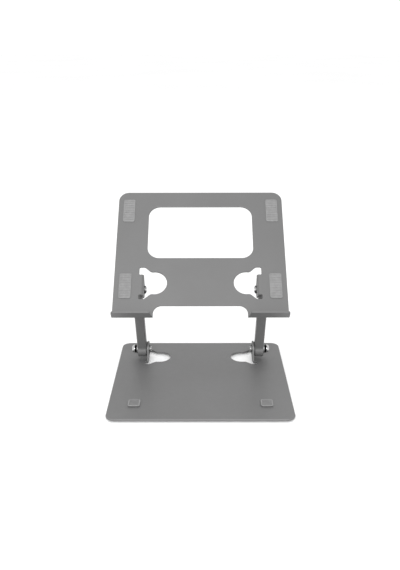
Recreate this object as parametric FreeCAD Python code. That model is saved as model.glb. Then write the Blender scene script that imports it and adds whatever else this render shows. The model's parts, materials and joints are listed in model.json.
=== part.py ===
import FreeCAD, Part
import math
import os

# Folding laptop stand, in millimetres. +X is to the user's right, +Y is away from the user and +Z is up.
# The origin is on the desk, under the middle of the base plate. The stand is drawn unfolded, as it is used.

V = FreeCAD.Vector
ORIGIN = V(0, 0, 0)
AXIS_X = V(1, 0, 0)
AXIS_Y = V(0, 1, 0)
AXIS_Z = V(0, 0, 1)

# Base plate
base_width = 205.0
base_depth = 195.0
base_corner_r = 10.0
foot_height = 2.3
foot_r = 7.0
foot_inset = 17.0

# Sheet metal, the same for both plates
sheet = 2.2
edge_r = 0.6
hole_edge_r = 0.4
bend_inner_r = 1.0

# Hinges: every pin axis runs along X
lower_axis_from_back = 43.7
lower_axis_rise = 12.2
upper_axis_drop = 10.8
upper_axis_from_hook = 39.0
ear_inner_x = 64.9
ear_round_r = 9.8
ear_foot_half = 13.0
hole_set_back = 2.0
hole_half = 20.8
hole_shoulder_x = 64.0
hole_neck_x = 55.5
hole_neck_half = 13.2
hole_tip_x = 52.7
hole_tip_r = 14.5
hole_corner_r = 5.0
notch_corner_r = 2.0

# Arms
arm_length = 105.8
arm_depth = 13.0
knuckle_r = 9.6
knuckle_blend_r = 6.0
arm_width = 11.0
arm_inner_x = 67.9
arm_edge_r = 1.4
arm_lean_deg = 24.9

# Hinge hardware
shank_r = 3.0
running_gap = 0.05
side_gap = 0.05
bush_r = 4.5
head_r = 5.0
head_height = 3.2
socket_flats = 4.0
socket_depth = 2.0
steel_washer_r = 5.75
steel_washer_thickness = 1.5
disc_spring_r = 5.5
disc_spring_height = 2.6
friction_washer_r = 8.5
nut_flange_r = 4.8
nut_flange_height = 0.8
nut_flats = 8.0
nut_height = 2.0
thread_past_nut = 0.8

# Top plate and its two hooks, drawn flat and then tilted
plate_tilt_deg = 42.0
plate_width = 198.2
plate_rear = 167.0
plate_corner_r = 12.0
front_recess = 12.0
hook_inner_x = 55.2
hook_root_x = 53.2
hook_height = 12.4
hook_bend_r = 0.8
hook_corner_r = 3.0
window_front = 74.0
window_rear = 146.0
window_half = 62.0
window_corner_r = 14.0

# Rubber parts
hook_pad_thickness = 1.0
hook_pad_width = 36.0
hook_pad_height = 9.2
plate_pad_thickness = 0.8
plate_pad_size = (14.0, 32.0)
plate_pad_x = 86.0
plate_pad_front_u = 37.0
plate_pad_rear_u = 140.0
base_pad_size = (13.6, 14.5)
base_pad_height = 1.7
base_pad_x = 73.8
base_pad_from_front = 33.4

# Worked out from the driving dimensions
base_top = foot_height + sheet
ear_outer_x = ear_inner_x + sheet
bend_x = ear_outer_x + bend_inner_r
notch_x = bend_x + 2.2
arm_outer_x = arm_inner_x + arm_width
lower_axis = V(0, base_depth / 2 - lower_axis_from_back, base_top + lower_axis_rise)
lean = math.radians(arm_lean_deg)
upper_axis = lower_axis + V(0, -math.sin(lean), math.cos(lean)) * arm_length
upper_axis_below_top = upper_axis_drop + sheet

SIDES = {"left": -1, "right": 1}


def face_from(edges):
    """A flat face inside a closed chain of edges."""
    return Part.Face(Part.Wire(Part.__sortEdges__(edges)))


def line(a, b):
    return Part.LineSegment(a, b).toShape()


def arc(a, through, b):
    return Part.Arc(a, through, b).toShape()


def cylinder(radius, x_from, x_to):
    """A cylinder along X on the X axis."""
    return Part.makeCylinder(radius, x_to - x_from, V(x_from, 0, 0), AXIS_X)


def ring(radius, hole_r, x_from, x_to, chamfer):
    """A washer or sleeve along X, with its outer rims chamfered."""
    body = cylinder(radius, x_from, x_to)
    rims = [e for e in body.Edges if e.isClosed()]
    body = body.makeChamfer(chamfer, rims)
    return body.cut(cylinder(hole_r, x_from - 1, x_to + 1))


def hexagon(flats, x_from, x_to):
    """A hexagonal bar along X, flats apart by the given width."""
    corner = flats / math.sqrt(3)
    points = []
    for step in range(7):
        angle = math.radians(60 * step)
        points.append(V(x_from, corner * math.cos(angle), corner * math.sin(angle)))
    return Part.Face(Part.makePolygon(points)).extrude(AXIS_X * (x_to - x_from))


def rounded_block(size_x, size_y, height, corner_r, top_edge_r):
    """A block on the XY plane, centred, with round corners and a rounded top rim."""
    block = Part.makeBox(size_x, size_y, height, V(-size_x / 2, -size_y / 2, 0))
    upright = [e for e in block.Edges if abs(e.tangentAt(e.FirstParameter).z) > 0.9]
    block = block.makeFillet(corner_r, upright)
    rim = [e for e in block.Edges if e.BoundBox.ZMin > height - 1e-6]
    return block.makeFillet(top_edge_r, rim)


def flat_rim(solid, heights, keep):
    """The edges of a flat sheet that lie at one of the heights and that keep() accepts."""
    chosen = []
    for edge in solid.Edges:
        box = edge.BoundBox
        for height in heights:
            if abs(box.ZMin - height) < 1e-6 and abs(box.ZMax - height) < 1e-6 and keep(edge):
                chosen.append(edge)
    return chosen


def rounded_upright(solid, corner_x, corner_ys, radius):
    """The solid with its upright edges at the given places rounded."""
    chosen = []
    for edge in solid.Edges:
        box = edge.BoundBox
        upright = box.XLength < 1e-6 and box.YLength < 1e-6
        if upright and abs(box.XMin - corner_x) < 0.01 and any(abs(box.YMin - y) < 0.01 for y in corner_ys):
            chosen.append(edge)
    return solid.makeFillet(radius, chosen)


def ear_cutout(axis_y, z_from, z_to):
    """The spade-shaped hole that the right ear was bent out of, with a relief notch at each end of the bend."""
    height = z_to - z_from
    low = hole_set_back - hole_half
    high = hole_set_back + hole_half
    neck = [hole_set_back - hole_neck_half, hole_set_back + hole_neck_half]
    outline = [
        V(notch_x, low, 0),
        V(hole_shoulder_x, low, 0),
        V(hole_neck_x, neck[0], 0),
        V(hole_neck_x, neck[1], 0),
        V(hole_shoulder_x, high, 0),
        V(notch_x, high, 0),
        V(notch_x, low, 0),
    ]
    tip = Part.makeCylinder(hole_tip_r, height, V(hole_tip_x, hole_set_back, 0))
    tool = Part.Face(Part.makePolygon(outline)).extrude(AXIS_Z * height).fuse(tip).removeSplitter()
    foot_block = Part.makeBox(notch_x, 2 * ear_foot_half, height, V(bend_x, -ear_foot_half, 0))
    tool = tool.cut(foot_block)
    tool = rounded_upright(tool, hole_shoulder_x, (low, high), hole_corner_r)
    tool = rounded_upright(tool, notch_x, (low, high), notch_corner_r)
    tool = rounded_upright(tool, notch_x, (-ear_foot_half, ear_foot_half), notch_corner_r / 2)
    waist = []
    for edge in tool.Edges:
        box = edge.BoundBox
        upright = box.ZLength > height / 2 and box.XLength < 1e-6
        if upright and hole_neck_x < box.XMin < hole_shoulder_x - hole_corner_r:
            waist.append(edge)
    tool = tool.makeFillet(hole_corner_r, waist)
    tool.translate(V(0, axis_y, z_from))
    return tool


def ear(rise):
    """The right ear, standing on the face z = 0 of a sheet that lies below it, with its pin axis at y = 0, z = rise."""
    foot = V(ear_inner_x, -ear_foot_half, bend_inner_r)
    centre = V(ear_inner_x, 0, rise)
    reach = centre - foot
    turn = math.atan2(reach.z, reach.y) + math.asin(ear_round_r / reach.Length)
    along = math.sqrt(reach.Length ** 2 - ear_round_r ** 2)
    touch = foot + V(0, math.cos(turn), math.sin(turn)) * along
    foot_b = V(foot.x, -foot.y, foot.z)
    touch_b = V(touch.x, -touch.y, touch.z)
    top = V(ear_inner_x, 0, rise + ear_round_r)
    outline = face_from([line(foot, touch), arc(touch, top, touch_b), line(touch_b, foot_b), line(foot_b, foot)])
    slab = outline.extrude(AXIS_X * sheet)
    rims = []
    for edge in slab.Edges:
        box = edge.BoundBox
        if box.XLength < 1e-6 and box.ZMax > bend_inner_r + 1e-3:
            rims.append(edge)
    slab = slab.makeFillet(edge_r, rims)

    outer_r = bend_inner_r + sheet
    diagonal = math.sqrt(0.5)
    y = -ear_foot_half
    bend = face_from([
        arc(V(ear_inner_x, y, bend_inner_r),
            V(bend_x - outer_r * diagonal, y, bend_inner_r - outer_r * diagonal),
            V(bend_x, y, -sheet)),
        line(V(bend_x, y, -sheet), V(bend_x, y, 0)),
        arc(V(bend_x, y, 0),
            V(bend_x - bend_inner_r * diagonal, y, bend_inner_r * (1 - diagonal)),
            V(ear_outer_x, y, bend_inner_r)),
        line(V(ear_outer_x, y, bend_inner_r), V(ear_inner_x, y, bend_inner_r)),
    ]).extrude(AXIS_Y * (2 * ear_foot_half))
    pin_hole = cylinder(shank_r + running_gap, ear_inner_x - 1, ear_outer_x + 1)
    pin_hole.translate(V(0, 0, rise))
    return slab.fuse(bend).cut(pin_hole)


def both_sides(shape):
    """A right-hand shape and its mirror image on the left."""
    return [shape, shape.mirror(ORIGIN, AXIS_X)]


def cut_out_ears(flat, axis_y, z_low, z_high):
    """The flat sheet with both spade-shaped holes, their rims softened except along the bend."""
    for tool in both_sides(ear_cutout(axis_y, z_low - 1, z_high + 1)):
        flat = flat.cut(tool)

    def on_hole(edge):
        box = edge.BoundBox
        near = abs((box.YMin + box.YMax) / 2 - axis_y) < 24 and max(abs(box.XMin), abs(box.XMax)) < 73
        return near and min(abs(box.XMin), abs(box.XMax)) < 71 and box.XLength > 1e-3

    return flat.makeFillet(hole_edge_r, flat_rim(flat, (z_low, z_high), on_hole))


def base_plate():
    flat = Part.makeBox(base_width, base_depth, sheet, V(-base_width / 2, -base_depth / 2, foot_height))
    upright = [e for e in flat.Edges if abs(e.tangentAt(e.FirstParameter).z) > 0.9]
    flat = flat.makeFillet(base_corner_r, upright)
    flat = flat.makeFillet(edge_r, flat_rim(flat, (foot_height, base_top), lambda e: True))
    plate = cut_out_ears(flat, lower_axis.y, foot_height, base_top)
    for part in both_sides(ear(lower_axis_rise)):
        part.translate(V(0, lower_axis.y, base_top))
        plate = plate.fuse(part)
    return plate.removeSplitter()


def tilted(shape):
    """Turns a shape drawn on the flat top plate to where the unfolded plate is.

    Drawn flat, y = 0 is where the laptop's front edge meets the hook pads and z = 0 is the plate's top face.
    """
    shape.translate(V(0, -upper_axis_from_hook, upper_axis_below_top))
    shape.rotate(ORIGIN, AXIS_X, plate_tilt_deg)
    shape.translate(upper_axis)
    return shape


def plate_outline():
    """The top plate's flat stretch: hook tabs at the front corners and a recess between them."""
    half = plate_width / 2
    front = hook_bend_r - hook_pad_thickness
    rear = plate_rear
    r = plate_corner_r
    d = r * (1 - math.sqrt(0.5))
    root = hook_root_x
    mouth = root - 10.0
    bay_start = front + 2.0
    edges = [
        line(V(-mouth, front_recess, 0), V(mouth, front_recess, 0)),
        line(V(-half + r, rear, 0), V(half - r, rear, 0)),
    ]
    for side in (-1, 1):
        p = [V(side * x, u, 0) for x, u in (
            (mouth, front_recess),
            (root - 2.9, front_recess - 2.8),
            (root, bay_start),
            (root, front),
            (half, front),
            (half, rear - r),
            (half - d, rear - d),
            (half - r, rear),
        )]
        edges.append(arc(p[0], p[1], p[2]))
        edges.append(line(p[2], p[3]))
        edges.append(line(p[3], p[4]))
        edges.append(line(p[4], p[5]))
        edges.append(arc(p[5], p[6], p[7]))
    return face_from(edges)


def hook():
    """The right hook: the plate's front tab bent up into a lip with round corners."""
    inner_u = -hook_pad_thickness
    outer_u = inner_u - sheet
    bend_u = inner_u + hook_bend_r
    outer_r = hook_bend_r + sheet
    diagonal = math.sqrt(0.5)
    x = hook_root_x - 1
    profile = face_from([
        line(V(x, bend_u, 0), V(x, bend_u, -sheet)),
        arc(V(x, bend_u, -sheet),
            V(x, bend_u - outer_r * diagonal, hook_bend_r - outer_r * diagonal),
            V(x, outer_u, hook_bend_r)),
        line(V(x, outer_u, hook_bend_r), V(x, outer_u, hook_height)),
        line(V(x, outer_u, hook_height), V(x, inner_u, hook_height)),
        line(V(x, inner_u, hook_height), V(x, inner_u, hook_bend_r)),
        arc(V(x, inner_u, hook_bend_r),
            V(x, bend_u - hook_bend_r * diagonal, hook_bend_r * (1 - diagonal)),
            V(x, bend_u, 0)),
    ])
    half = plate_width / 2
    strip = profile.extrude(AXIS_X * (half - x))
    r = hook_corner_r
    d = r * (1 - diagonal)
    y = outer_u - 1
    top = hook_height
    front_view = face_from([
        line(V(hook_root_x, y, -sheet - 1), V(half, y, -sheet - 1)),
        line(V(half, y, -sheet - 1), V(half, y, top - r)),
        arc(V(half, y, top - r), V(half - d, y, top - d), V(half - r, y, top)),
        line(V(half - r, y, top), V(hook_inner_x + r, y, top)),
        arc(V(hook_inner_x + r, y, top), V(hook_inner_x + d, y, top - d), V(hook_inner_x, y, top - r)),
        line(V(hook_inner_x, y, top - r), V(hook_root_x, y, hook_bend_r)),
        line(V(hook_root_x, y, hook_bend_r), V(hook_root_x, y, -sheet - 1)),
    ])
    return strip.common(front_view.extrude(AXIS_Y * (bend_u - y)))


def window_tool():
    """The cutting tool for the ventilation window in the top plate."""
    tool = Part.makeBox(2 * window_half, window_rear - window_front, sheet + 2, V(-window_half, window_front, -sheet - 1))
    upright = [e for e in tool.Edges if abs(e.tangentAt(e.FirstParameter).z) > 0.9]
    return tool.makeFillet(window_corner_r, upright)


def top_plate():
    flat = plate_outline().extrude(V(0, 0, -sheet))
    flat = flat.cut(window_tool())
    join_u = hook_bend_r - hook_pad_thickness

    def free_edge(edge):
        return edge.BoundBox.YMax > join_u + 1e-3

    flat = flat.makeFillet(edge_r, flat_rim(flat, (-sheet, 0), free_edge))
    plate = cut_out_ears(flat, upper_axis_from_hook, -sheet, 0)
    for part in both_sides(hook()):
        plate = plate.fuse(part)
    hanging_ear = ear(upper_axis_drop).rotate(ORIGIN, AXIS_X, 180)
    for part in both_sides(hanging_ear):
        part.translate(V(0, upper_axis_from_hook, -sheet))
        plate = plate.fuse(part)
    return tilted(plate.removeSplitter())


def arm():
    """The right arm, lying along Y from the lower axis: a solid bar with a round knuckle and a bush bore at each end."""
    bar = Part.makeBox(arm_width, arm_length, arm_depth, V(arm_inner_x, 0, -arm_depth / 2))
    for distance in (0, arm_length):
        knuckle = cylinder(knuckle_r, arm_inner_x, arm_outer_x)
        knuckle.translate(AXIS_Y * distance)
        bar = bar.fuse(knuckle)
    bar = bar.removeSplitter()
    inside_corners = []
    for edge in bar.Edges:
        box = edge.BoundBox
        straight = box.YLength < 1e-6 and box.ZLength < 1e-6
        if straight and abs(abs(box.ZMin) - arm_depth / 2) < 1e-6:
            inside_corners.append(edge)
    bar = bar.makeFillet(knuckle_blend_r, inside_corners)
    rims = [e for e in bar.Edges if e.BoundBox.XLength < 1e-6]
    bar = bar.makeFillet(arm_edge_r, rims)
    for distance in (0, arm_length):
        bore = cylinder(bush_r, arm_inner_x - 1, arm_outer_x + 1)
        bore.translate(AXIS_Y * distance)
        bar = bar.cut(bore)
    bar.rotate(ORIGIN, AXIS_X, 90 + arm_lean_deg)
    bar.translate(lower_axis)
    return bar


def bolt():
    """A button-head bolt along X: domed head outside the arm, hexagon socket, and a chamfered end past the nut."""
    seat_x = arm_outer_x + side_gap + steel_washer_thickness + disc_spring_height
    end_x = ear_inner_x - side_gap - nut_height - thread_past_nut
    rim = 0.5
    dome_flat_r = 2.9
    chamfer = 0.5
    profile = face_from([
        line(V(end_x, 0, 0), V(end_x, 0, shank_r - chamfer)),
        line(V(end_x, 0, shank_r - chamfer), V(end_x + chamfer, 0, shank_r)),
        line(V(end_x + chamfer, 0, shank_r), V(seat_x, 0, shank_r)),
        line(V(seat_x, 0, shank_r), V(seat_x, 0, head_r)),
        line(V(seat_x, 0, head_r), V(seat_x + rim, 0, head_r)),
        arc(V(seat_x + rim, 0, head_r),
            V(seat_x + head_height * 0.72, 0, head_r * 0.845),
            V(seat_x + head_height, 0, dome_flat_r)),
        line(V(seat_x + head_height, 0, dome_flat_r), V(seat_x + head_height, 0, 0)),
        line(V(seat_x + head_height, 0, 0), V(end_x, 0, 0)),
    ])
    body = profile.revolve(ORIGIN, AXIS_X, 360)
    return body.cut(hexagon(socket_flats, seat_x + head_height - socket_depth, seat_x + head_height + 1))


def nut():
    """A low flange nut on the ear's inner face."""
    seat_x = ear_inner_x - side_gap
    flange = cylinder(nut_flange_r, seat_x - nut_flange_height, seat_x)
    hexed = hexagon(nut_flats, seat_x - nut_height, seat_x - nut_flange_height)
    bevelled = cylinder(nut_flange_r - 0.3, seat_x - nut_height, seat_x - nut_flange_height)
    end_rims = [e for e in bevelled.Edges if e.isClosed() and e.BoundBox.XMax < seat_x - nut_height + 1e-6]
    bevelled = bevelled.makeChamfer(0.4, end_rims)
    body = flange.fuse(hexed.common(bevelled))
    return body.cut(cylinder(shank_r + 0.02, seat_x - nut_height - 1, seat_x + 1)).removeSplitter()


def friction_washer():
    return ring(friction_washer_r, shank_r + running_gap, ear_outer_x + side_gap, arm_inner_x - side_gap, 0.2)


def steel_washer():
    start = arm_outer_x + side_gap
    return ring(steel_washer_r, shank_r + running_gap, start, start + steel_washer_thickness, 0.2)


def disc_springs():
    """Two disc springs back to back: a waisted ring that is thin at its outer rim."""
    start = arm_outer_x + side_gap + steel_washer_thickness
    middle = start + disc_spring_height / 2
    hole = shank_r + running_gap
    lip = 0.35
    profile = face_from([
        line(V(start, 0, hole), V(start + disc_spring_height, 0, hole)),
        line(V(start + disc_spring_height, 0, hole), V(start + disc_spring_height, 0, hole + 0.9)),
        line(V(start + disc_spring_height, 0, hole + 0.9), V(middle + lip, 0, disc_spring_r)),
        line(V(middle + lip, 0, disc_spring_r), V(middle - lip, 0, disc_spring_r)),
        line(V(middle - lip, 0, disc_spring_r), V(start, 0, hole + 0.9)),
        line(V(start, 0, hole + 0.9), V(start, 0, hole)),
    ])
    return profile.revolve(ORIGIN, AXIS_X, 360)


def bush():
    return ring(bush_r, shank_r + running_gap, arm_inner_x, arm_outer_x, 0.3)


def foot():
    """A round rubber foot with a bevelled rim and a shallow cup underneath."""
    rim_r = foot_r - 0.8
    cup_r = foot_r - 2.4
    profile = face_from([
        line(V(0, 0, foot_height), V(foot_r, 0, foot_height)),
        line(V(foot_r, 0, foot_height), V(foot_r, 0, 0.8)),
        arc(V(foot_r, 0, 0.8), V(foot_r - 0.24, 0, 0.24), V(rim_r, 0, 0)),
        line(V(rim_r, 0, 0), V(cup_r, 0, 0)),
        line(V(cup_r, 0, 0), V(cup_r - 0.6, 0, 0.6)),
        line(V(cup_r - 0.6, 0, 0.6), V(0, 0, 0.6)),
        line(V(0, 0, 0.6), V(0, 0, foot_height)),
    ])
    return profile.revolve(ORIGIN, AXIS_Z, 360)


def base_pad():
    pad = rounded_block(base_pad_size[0], base_pad_size[1], base_pad_height, 2.0, 0.5)
    pad.translate(V(base_pad_x, -base_depth / 2 + base_pad_from_front, base_top))
    return pad


def plate_pad(u):
    pad = rounded_block(plate_pad_size[0], plate_pad_size[1], plate_pad_thickness, 3.0, 0.4)
    pad.translate(V(plate_pad_x, u, 0))
    return tilted(pad)


def hook_pad():
    """A rubber strip on the inner face of the right hook's lip."""
    pad = rounded_block(hook_pad_width, hook_pad_height, hook_pad_thickness, 1.8, 0.4)
    pad.rotate(ORIGIN, AXIS_X, -90)
    middle_x = (hook_inner_x + plate_width / 2) / 2
    pad.translate(V(middle_x, -hook_pad_thickness, hook_bend_r + 0.2 + hook_pad_height / 2))
    return tilted(pad)


def write(name, shape, side=1):
    """Writes one node, mirrored to the left where side is -1."""
    if side < 0:
        shape = shape.mirror(ORIGIN, AXIS_X)
    solid = shape.Solids[0]
    assert len(shape.Solids) == 1 and solid.isValid() and solid.Volume > 0, name
    solid.exportStep(os.path.join("parts", name + ".step"))


def main():
    os.makedirs("parts", exist_ok=True)
    write("base_plate", base_plate())
    write("top_plate", top_plate())
    hardware = {
        "bolt": bolt,
        "nut": nut,
        "friction_washer": friction_washer,
        "steel_washer": steel_washer,
        "disc_springs": disc_springs,
        "bush": bush,
    }
    for side_name, side in SIDES.items():
        write(side_name + "_arm", arm(), side)
        write("base_pad_" + side_name, base_pad(), side)
        write("hook_pad_" + side_name, hook_pad(), side)
        write("front_plate_pad_" + side_name, plate_pad(plate_pad_front_u), side)
        write("rear_plate_pad_" + side_name, plate_pad(plate_pad_rear_u), side)
        for end, way in {"front": -1, "rear": 1}.items():
            one = foot()
            one.translate(V(base_width / 2 - foot_inset, way * (base_depth / 2 - foot_inset), 0))
            write(end + "_foot_" + side_name, one, side)
        for level, axis in {"lower": lower_axis, "upper": upper_axis}.items():
            for piece, make in hardware.items():
                shape = make()
                shape.translate(axis)
                write(level + "_" + piece + "_" + side_name, shape, side)


main()
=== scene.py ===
import json
import math

import bmesh
import bpy
from mathutils import Matrix, Vector


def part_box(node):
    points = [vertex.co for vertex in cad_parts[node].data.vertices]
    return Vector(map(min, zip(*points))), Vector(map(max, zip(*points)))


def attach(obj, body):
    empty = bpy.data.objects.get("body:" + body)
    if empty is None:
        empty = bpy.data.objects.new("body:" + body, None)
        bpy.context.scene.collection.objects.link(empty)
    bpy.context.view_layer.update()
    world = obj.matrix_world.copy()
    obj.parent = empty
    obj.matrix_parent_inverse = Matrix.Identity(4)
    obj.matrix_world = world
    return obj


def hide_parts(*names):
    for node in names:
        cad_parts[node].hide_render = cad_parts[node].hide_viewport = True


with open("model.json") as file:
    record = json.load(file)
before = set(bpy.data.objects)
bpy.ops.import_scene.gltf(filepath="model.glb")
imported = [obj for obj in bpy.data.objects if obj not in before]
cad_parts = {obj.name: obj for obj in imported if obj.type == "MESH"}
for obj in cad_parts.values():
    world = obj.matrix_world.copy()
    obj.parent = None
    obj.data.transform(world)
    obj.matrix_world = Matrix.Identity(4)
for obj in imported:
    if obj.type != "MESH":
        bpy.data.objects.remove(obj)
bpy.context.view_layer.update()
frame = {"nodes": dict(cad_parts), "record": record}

MM = 0.001
SIDES = ("left", "right")
LEVELS = ("lower", "upper")


# ---------------------------------------------------------------- shader maths

class Socket:
    """A shader value. Arithmetic on it adds Math nodes, and clamp() keeps it from 0 to 1."""

    def __init__(self, finish, link):
        self.finish = finish
        self.link = link

    def math(self, operation, *others, clamp=False):
        settings = {"operation": operation, "use_clamp": clamp}
        values = dict(enumerate((self,) + others))
        return self.finish.node("ShaderNodeMath", settings, values)

    def __add__(self, other):
        return self.math("ADD", other)

    def __radd__(self, other):
        return self.math("ADD", other)

    def __sub__(self, other):
        return self.math("SUBTRACT", other)

    def __rsub__(self, other):
        return (self * -1.0).math("ADD", other)

    def __mul__(self, other):
        return self.math("MULTIPLY", other)

    def clamp(self):
        return self.math("ADD", 0.0, clamp=True)


class Finish:
    """A procedural material in the making, on Object coordinates in metres."""

    def __init__(self, name):
        self.material = bpy.data.materials.new(name)
        self.material.use_nodes = True
        self.tree = self.material.node_tree
        self.tree.nodes.clear()
        self.place = self.node("ShaderNodeTexCoord", output="Object")

    def node(self, kind, settings=None, sockets=None, output=0):
        """Adds a node: its settings, then the value or link of each socket. Gives one of its outputs."""
        made = self.tree.nodes.new(kind)
        for key, value in (settings or {}).items():
            setattr(made, key, value)
        for key, value in (sockets or {}).items():
            if isinstance(value, Socket):
                self.tree.links.new(value.link, made.inputs[key])
            else:
                made.inputs[key].default_value = value
        return Socket(self, made.outputs[output]) if len(made.outputs) else None

    def mapped(self, scale=(1, 1, 1), rotation=(0, 0, 0), location=(0, 0, 0)):
        """The coordinates turned, stretched and shifted."""
        sockets = {"Vector": self.place, "Location": location, "Rotation": rotation, "Scale": scale}
        return self.node("ShaderNodeMapping", {"vector_type": "POINT"}, sockets)

    def noise(self, size, detail=3.0, roughness=0.5, where=None):
        """Noise whose blotches are about size metres across, from 0 to 1."""
        sockets = {
            "Vector": where or self.place,
            "Scale": 1.0 / size,
            "Detail": detail,
            "Roughness": roughness,
        }
        return self.node("ShaderNodeTexNoise", {}, sockets)

    def spread(self, value, low, high, to_low=0.0, to_high=1.0):
        """The stretch of value from low to high, brought to to_low to to_high and held there outside it."""
        sockets = {0: value, 1: low, 2: high, 3: to_low, 4: to_high}
        return self.node("ShaderNodeMapRange", {"interpolation_type": "SMOOTHSTEP"}, sockets)

    def blend(self, factor, a, b):
        """Colour a where factor is 0 and colour b where it is 1."""
        sockets = {0: factor, 6: a, 7: b}
        return self.node("ShaderNodeMix", {"data_type": "RGBA"}, sockets, output=2)

    def bump(self, height, depth, strength=1.0, under=None):
        """A bump of that depth in metres."""
        sockets = {"Height": height, "Distance": depth, "Strength": strength}
        if under:
            sockets["Normal"] = under
        return self.node("ShaderNodeBump", {}, sockets)

    def dot(self, a, b):
        """The dot product of two vectors."""
        return self.node("ShaderNodeVectorMath", {"operation": "DOT_PRODUCT"}, {0: a, 1: b}, output=1)

    def edges(self, radius):
        """Over 0 near an outer or inner edge of the solid, 0 on its flat faces."""
        round_normal = self.node("ShaderNodeBevel", {"samples": 4}, {"Radius": radius})
        plain = self.node("ShaderNodeNewGeometry", output="Normal")
        return (1.0 - self.dot(round_normal, plain)).clamp()

    def facing_x(self):
        """1 on faces that look along X, 0 on those that don't."""
        plain = self.node("ShaderNodeNewGeometry", output="Normal")
        return self.dot(plain, (1, 0, 0)).math("ABSOLUTE")

    def principled(self, **sockets):
        """The surface shader. Constants are set on it directly."""
        named = {key.replace("_", " "): value for key, value in sockets.items()}
        shader = self.node("ShaderNodeBsdfPrincipled", {}, named)
        self.node("ShaderNodeOutputMaterial", {}, {"Surface": shader})
        return self.material


def grey(level, warm=0.0):
    """A grey as RGBA in linear light, a little warm or cool."""
    return (level * (1 + warm), level, level * (1 - warm), 1.0)


# ---------------------------------------------------------------- finishes

METAL_METALLIC = 0.45
METAL_ROUGHNESS = 0.48
RUBBER_ROUGHNESS = 0.62
RING_PITCH = 0.16 * MM
RINGS_REACH = 12 * MM


def satin_grey_metal(name, level, painted_side_shade=1.0):
    """Fine blasted and coated metal: faint clouds, tiny grain, hairline scratches and slightly rubbed rims.

    A side-shade factor under 1 darkens the faces that look along X: painted shade on the sides.
    """
    f = Finish(name)
    clouds = f.noise(70 * MM, 3.0, 0.55)
    mottle = f.noise(6 * MM, 4.0, 0.6)
    grain = f.noise(0.35 * MM, 2.0, 0.7)
    hairline = f.noise(1.0, 2.0, 0.6, f.mapped(scale=(60, 2200, 2200), rotation=(0.0, 0.0, 0.5)))
    hair = f.spread(hairline, 0.66, 0.72) * f.spread(clouds, 0.45, 0.6)
    rubbed = f.spread(f.edges(0.5 * MM), 0.15, 0.6) * f.spread(mottle, 0.40, 0.65)
    tone = f.spread(clouds, 0.3, 0.7, 0.0, 0.5) + f.spread(grain, 0.3, 0.7, 0.0, 0.5)
    colour = f.blend(tone, grey(level * 0.94, 0.003), grey(level * 1.06, -0.003))
    colour = f.blend(hair * 0.14, colour, grey(level * 1.7))
    colour = f.blend(rubbed * 0.16, colour, grey(level * 1.6))
    # Painted shade: the faces that look along X are darkened to the given share of the grey.
    if painted_side_shade < 1.0:
        colour = f.blend(f.spread(f.facing_x(), 0.55, 0.95), colour, grey(level * painted_side_shade))
    rough = METAL_ROUGHNESS + (mottle - 0.5) * 0.10 + (clouds - 0.5) * 0.08
    rough = rough - hair * 0.06 - rubbed * 0.05
    skin = f.bump(grain, 0.012 * MM, 0.6)
    skin = f.bump(mottle, 0.02 * MM, 0.35, skin)
    return f.principled(Base_Color=colour, Metallic=METAL_METALLIC, Roughness=rough.clamp(), Normal=skin)


def rubber(name, level):
    """Moulded silicone rubber: matt, with a fine spark-eroded texture, faint bloom and a little dust."""
    f = Finish(name)
    texture = f.noise(0.28 * MM, 2.0, 0.65)
    bloom = f.noise(5 * MM, 3.0, 0.55)
    dust = f.spread(f.noise(0.7 * MM, 1.0, 0.5), 0.70, 0.76)
    colour = f.blend(f.spread(bloom, 0.3, 0.7), grey(level * 0.92), grey(level * 1.08))
    colour = f.blend(dust * 0.25, colour, grey(min(1.0, level * 1.5 + 0.03)))
    rough = RUBBER_ROUGHNESS + (bloom - 0.5) * 0.12 + dust * 0.1
    skin = f.bump(texture, 0.02 * MM, 0.6)
    return f.principled(
        Base_Color=colour, Roughness=rough.clamp(), Normal=skin,
        Specular_IOR_Level=0.4, Sheen_Weight=0.15, Sheen_Roughness=0.5,
    )


def turned_steel(name, level, roughness, pin_axes):
    """Turned or plated steel: faint lathe rings about each pin axis, small pits and rubbed patches."""
    f = Finish(name)
    rubbed = f.noise(2.2 * MM, 3.0, 0.6)
    pits = f.spread(f.noise(0.25 * MM, 1.0, 0.5), 0.68, 0.78)
    fine = f.noise(0.12 * MM, 2.0, 0.6)
    skin = f.bump(fine, 0.004 * MM, 0.5)
    for y, z in pin_axes:
        from_axis = f.mapped(scale=(0, 1, 1), location=(0, -y, -z))
        radius = f.node("ShaderNodeVectorMath", {"operation": "LENGTH"}, {0: from_axis}, output=1)
        near = f.spread(radius, RINGS_REACH - 1 * MM, RINGS_REACH, 1.0, 0.0)
        rings = (radius * (2 * math.pi / RING_PITCH)).math("SINE")
        skin = f.bump(rings * near, 0.004 * MM, 0.5, skin)
    colour = f.blend(f.spread(rubbed, 0.3, 0.7), grey(level * 0.9), grey(min(1.0, level * 1.06)))
    colour = f.blend(pits * 0.4, colour, grey(level * 0.5))
    rough = roughness + (rubbed - 0.5) * 0.14 + pits * 0.2
    return f.principled(Base_Color=colour, Metallic=1.0, Roughness=rough.clamp(), Normal=skin)


def filled_polymer(name):
    """Filled polymer washer: grey, with a dull streaky skin."""
    f = Finish(name)
    streak = f.noise(0.8 * MM, 3.0, 0.6)
    fibre = f.noise(0.2 * MM, 2.0, 0.7)
    colour = f.blend(f.spread(streak, 0.3, 0.7), grey(0.10), grey(0.15))
    rough = 0.5 + (streak - 0.5) * 0.2
    skin = f.bump(fibre, 0.01 * MM, 0.5)
    return f.principled(Base_Color=colour, Roughness=rough.clamp(), Normal=skin)


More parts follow.
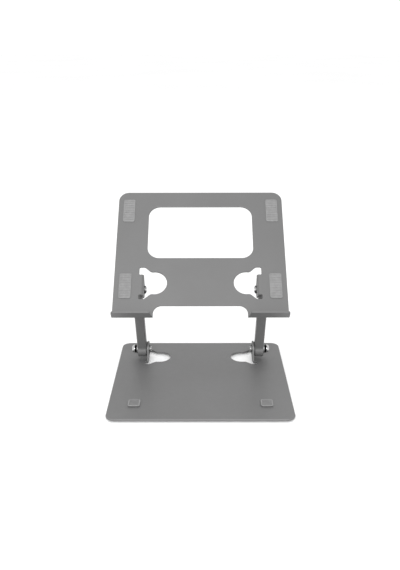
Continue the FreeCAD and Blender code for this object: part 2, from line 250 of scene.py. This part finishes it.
def sintered_bronze(name):
    """Porous oil-soaked bronze, brown where the oil sits."""
    f = Finish(name)
    pores = f.spread(f.noise(0.18 * MM, 2.0, 0.6), 0.60, 0.72)
    oil = f.spread(f.noise(2.5 * MM, 3.0, 0.6), 0.35, 0.65)
    colour = f.blend(oil, (0.48, 0.30, 0.13, 1), (0.27, 0.16, 0.07, 1))
    colour = f.blend(pores * 0.6, colour, (0.08, 0.05, 0.03, 1))
    rough = 0.38 + pores * 0.25 - oil * 0.08
    skin = f.bump(1.0 - pores, 0.01 * MM, 0.6)
    return f.principled(Base_Color=colour, Metallic=1.0, Roughness=rough.clamp(), Normal=skin)


def studio_floor(name):
    """Plain pale floor."""
    f = Finish(name)
    tone = f.noise(0.9, 2.0, 0.5)
    colour = f.blend(f.spread(tone, 0.3, 0.7), grey(0.90), grey(0.92))
    return f.principled(Base_Color=colour, Roughness=0.9 + tone * 0.05, Specular_IOR_Level=0.1)


# ---------------------------------------------------------------- where things are

def middle(node):
    low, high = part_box(node)
    return (low + high) / 2


PIN = {level: middle(level + "_bolt_right") for level in LEVELS}
rear_pad = middle("rear_plate_pad_right")
front_pad = middle("front_plate_pad_right")
slope = (rear_pad - front_pad).normalized()
TILT = math.atan2(slope.z, slope.y)


# ---------------------------------------------------------------- new pieces

SHARP_DEG = 35
TINY = 1e-6


def finished(bm, name, body, materials, replaces):
    """Makes the bmesh a piece of the stand, shaded smooth up to its sharp edges."""
    bmesh.ops.recalc_face_normals(bm, faces=bm.faces)
    mesh = bpy.data.meshes.new(name)
    bm.to_mesh(mesh)
    bm.free()
    mesh.shade_smooth()
    mesh.set_sharp_from_angle(angle=math.radians(SHARP_DEG))
    for material in materials:
        mesh.materials.append(material)
    piece = bpy.data.objects.new(name, mesh)
    bpy.context.scene.collection.objects.link(piece)
    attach(piece, body)
    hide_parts(*replaces)


# Shares of a pad's height, of its smaller side and of the pitch of its grooves
ROLL_SHARE = 0.38
LARGEST_ROLL = 0.9 * MM
BORDER = 0.7 * MM
CORNER_SHARE = 0.16
GROOVE_DEPTH_SHARE = 0.28
GROOVE_HALF_SHARE = 0.2


def bevelled(bm, edges, offset, segments):
    bmesh.ops.bevel(
        bm, geom=edges, offset=offset, segments=segments, profile=0.5, affect="EDGES", material=-1)


def pad_mesh(width, length, height, corner, grooves, groove_depth):
    """A moulded pad on z = 0: round corners, a rolled rim, a flat border and grooves along its width.

    Faces that look up get the first material and the others get the second, a darker copy of the same
    rubber that paints shade on the side walls.
    """
    bm = bmesh.new()
    bmesh.ops.create_cube(bm, size=1.0)
    bmesh.ops.scale(bm, verts=bm.verts, vec=(width, length, height))
    bmesh.ops.translate(bm, verts=bm.verts, vec=(0, 0, height / 2))
    upright = [e for e in bm.edges if abs(e.verts[0].co.z - e.verts[1].co.z) > height / 2]
    bevelled(bm, upright, corner, 8)
    top = max(bm.faces, key=lambda face: face.calc_center_median().z)
    roll = min(ROLL_SHARE * height, LARGEST_ROLL)
    bevelled(bm, list(top.edges), roll, 4)
    top = max(bm.faces, key=lambda face: face.calc_center_median().z)
    bmesh.ops.inset_region(bm, faces=[top], thickness=BORDER, depth=0.0)
    top = max(bm.faces, key=lambda face: (round(face.calc_center_median().z, 7), face.calc_area()))

    inner = max(vert.co.y for vert in top.verts)
    inner_x = width / 2 - roll - BORDER + 0.1 * MM
    pitch = 2 * inner / grooves
    cuts = []
    for step in range(grooves):
        centre = -inner + pitch * (step + 0.5)
        cuts.append((centre - pitch * GROOVE_HALF_SHARE, centre + pitch * GROOVE_HALF_SHARE))
    region = [top]
    for y in [y for cut in cuts for y in cut]:
        edges = {e for face in region for e in face.edges}
        verts = {v for face in region for v in face.verts}
        geom = region + list(edges) + list(verts)
        bmesh.ops.bisect_plane(bm, geom=geom, plane_co=(0, y, 0), plane_no=(0, 1, 0), dist=1e-8)
        region = [
            face for face in bm.faces
            if face.calc_center_median().z > height - TINY and face.normal.z > 0.99
            and all(abs(v.co.y) < inner + TINY for v in face.verts)
            and all(abs(v.co.x) < inner_x for v in face.verts)
        ]
    grooved = [
        face for face in region
        if any(low - TINY < face.calc_center_median().y < high + TINY for low, high in cuts)
    ]
    walls = bmesh.ops.extrude_face_region(bm, geom=grooved)
    moved = [item for item in walls["geom"] if isinstance(item, bmesh.types.BMVert)]
    bmesh.ops.translate(bm, verts=moved, vec=(0, 0, -groove_depth))
    bmesh.ops.delete(bm, geom=grooved, context="FACES")

    bmesh.ops.remove_doubles(bm, verts=bm.verts, dist=1e-7)
    bm.normal_update()
    for face in bm.faces:
        # The walls get the darker copy of the rubber: painted shade.
        face.material_index = 1 if face.normal.z < 0.5 else 0
    return bm


def put(bm, turn, place):
    """Turns a bmesh about X and moves it."""
    bmesh.ops.rotate(bm, verts=bm.verts, cent=(0, 0, 0), matrix=Matrix.Rotation(turn, 3, "X"))
    bmesh.ops.translate(bm, verts=bm.verts, vec=place)


# ---------------------------------------------------------------- materials on the CAD nodes

PIN_AXES = [(PIN[level].y, PIN[level].z) for level in LEVELS]
BASE_METAL = satin_grey_metal("base_satin_grey", 0.155)
# The top plate: the shared grey paint at a darker level than the base, painted shade matched to the hooks'
# downward-facing fronts.
PLATE_METAL = satin_grey_metal("plate_satin_grey", 0.14)
# The arms: the shared grey paint at a lighter level than the base as painted light on their downward-facing
# fronts, with the X-facing sides darkened as painted shade.
ARM_METAL = satin_grey_metal("arm_satin_grey", 0.175, painted_side_shade=0.62)
PAD_RUBBER = rubber("pad_silicone_grey", 0.18)
# The pad walls: the same silicone at about half the level, painted shade on the side walls.
PAD_SHADED_WALL = rubber("pad_silicone_painted_shade_wall", 0.085)
FOOT_RUBBER = rubber("foot_rubber_black", 0.018)
BOLT_STEEL = turned_steel("bolt_bright_plate", 0.50, 0.13, PIN_AXES)
# The nuts: the same turned steel at a much darker level, painted shade where they sit on the ears' inner
# sides.
NUT_PAINTED_SHADE_STEEL = turned_steel("nut_painted_shade_steel", 0.14, 0.45, PIN_AXES)
WASHER_STEEL = turned_steel("washer_steel", 0.26, 0.45, PIN_AXES)
SPRING_STEEL = turned_steel("disc_spring_black", 0.008, 0.34, PIN_AXES)
GREY_POLYMER = filled_polymer("friction_washer_grey")
BRONZE = sintered_bronze("bush_bronze")

FINISH_OF = {
    "base_paint": BASE_METAL,
    "plate_paint": PLATE_METAL,
    "arm_paint": ARM_METAL,
    "grey_rubber": PAD_RUBBER,
    "black_rubber": FOOT_RUBBER,
    "bright_steel": BOLT_STEEL,
    "nut_steel": NUT_PAINTED_SHADE_STEEL,
    "steel_washer": WASHER_STEEL,
    "black_steel": SPRING_STEEL,
    "grey_washer": GREY_POLYMER,
    "bush_metal": BRONZE,
}
for subpart in frame["record"]["subparts"]:
    node = frame["nodes"][subpart["node"]]
    node.data.materials.clear()
    node.data.materials.append(FINISH_OF[subpart["material_slot"]])


# ---------------------------------------------------------------- moulded pads

PLATE_UP = Vector((0, -math.sin(TILT), math.cos(TILT)))
PLATE_BACK = Vector((0, math.cos(TILT), math.sin(TILT)))


def add_pad(node, body, turn, size, rows, facing):
    """A grooved pad in place of a plain CAD pad, turned about X to face the given way."""
    width, length, height = (value * MM for value in size)
    corner = min(width, length) * CORNER_SHARE
    bm = pad_mesh(width, length, height, corner, rows, height * GROOVE_DEPTH_SHARE)
    put(bm, turn, middle(node) - facing * (height / 2))
    finished(bm, node + "_moulded", body, (PAD_RUBBER, PAD_SHADED_WALL), replaces=(node,))


# Width, length and height in millimetres
BASE_PAD = (13.6, 14.5, 1.7)
HOOK_PAD = (36.0, 9.2, 1.0)
PLATE_PAD = (14.0, 32.0, 0.8)

for side in SIDES:
    add_pad("base_pad_" + side, "base", 0.0, BASE_PAD, 5, Vector((0, 0, 1)))
    add_pad("hook_pad_" + side, "top", TILT - math.pi / 2, HOOK_PAD, 3, PLATE_BACK)
    for end in ("front", "rear"):
        add_pad(end + "_plate_pad_" + side, "top", TILT, PLATE_PAD, 9, PLATE_UP)


# ---------------------------------------------------------------- camera, light and floor

def camera(place, pitch_deg, yaw_deg, roll_deg, lens):
    """A camera that looks along +Y, tipped down by the pitch and turned to the right by the yaw."""
    data = bpy.data.cameras.new("camera")
    data.sensor_width = 36.0
    data.lens = lens
    data.clip_end = 100.0
    made = bpy.data.objects.new("camera", data)
    turn = Matrix.Rotation(math.radians(-yaw_deg), 4, "Z")
    turn = turn @ Matrix.Rotation(math.radians(90 - pitch_deg), 4, "X")
    turn = turn @ Matrix.Rotation(math.radians(-roll_deg), 4, "Z")
    made.matrix_world = Matrix.Translation(place) @ turn
    bpy.context.scene.collection.objects.link(made)
    bpy.context.scene.camera = made


def softbox(name, place, size, power, aim):
    """A large soft area light aimed at a point."""
    data = bpy.data.lights.new(name, "AREA")
    data.shape = "RECTANGLE"
    data.size, data.size_y = size
    data.energy = power
    made = bpy.data.objects.new(name, data)
    place = Vector(place)
    turn = (Vector(aim) - place).to_track_quat("-Z", "Y").to_matrix().to_4x4()
    made.matrix_world = Matrix.Translation(place) @ turn
    bpy.context.scene.collection.objects.link(made)


def studio():
    world = bpy.data.worlds.new("studio")
    world.use_nodes = True
    background = world.node_tree.nodes["Background"]
    background.inputs["Color"].default_value = (1.0, 1.0, 1.0, 1.0)
    background.inputs["Strength"].default_value = 1.1
    bpy.context.scene.world = world
    aim = (0.0, 0.0, 0.08)
    softbox("key", (-0.4, -0.5, 1.5), (1.2, 1.2), 3.0, aim)
    softbox("front", (0.0, -1.5, 1.0), (1.4, 0.6), 24.0, aim)

    bm = bmesh.new()
    bmesh.ops.create_grid(bm, x_segments=4, y_segments=4, size=15.0)
    mesh = bpy.data.meshes.new("floor")
    bm.to_mesh(mesh)
    bm.free()
    mesh.materials.append(studio_floor("floor_pale"))
    floor = bpy.data.objects.new("floor", mesh)
    bpy.context.scene.collection.objects.link(floor)
    bpy.context.scene.view_settings.view_transform = "Standard"


camera((1.5 * MM, -741.1 * MM, 389.8 * MM), 19.89, -0.15, 0.12, 43.62)
studio()
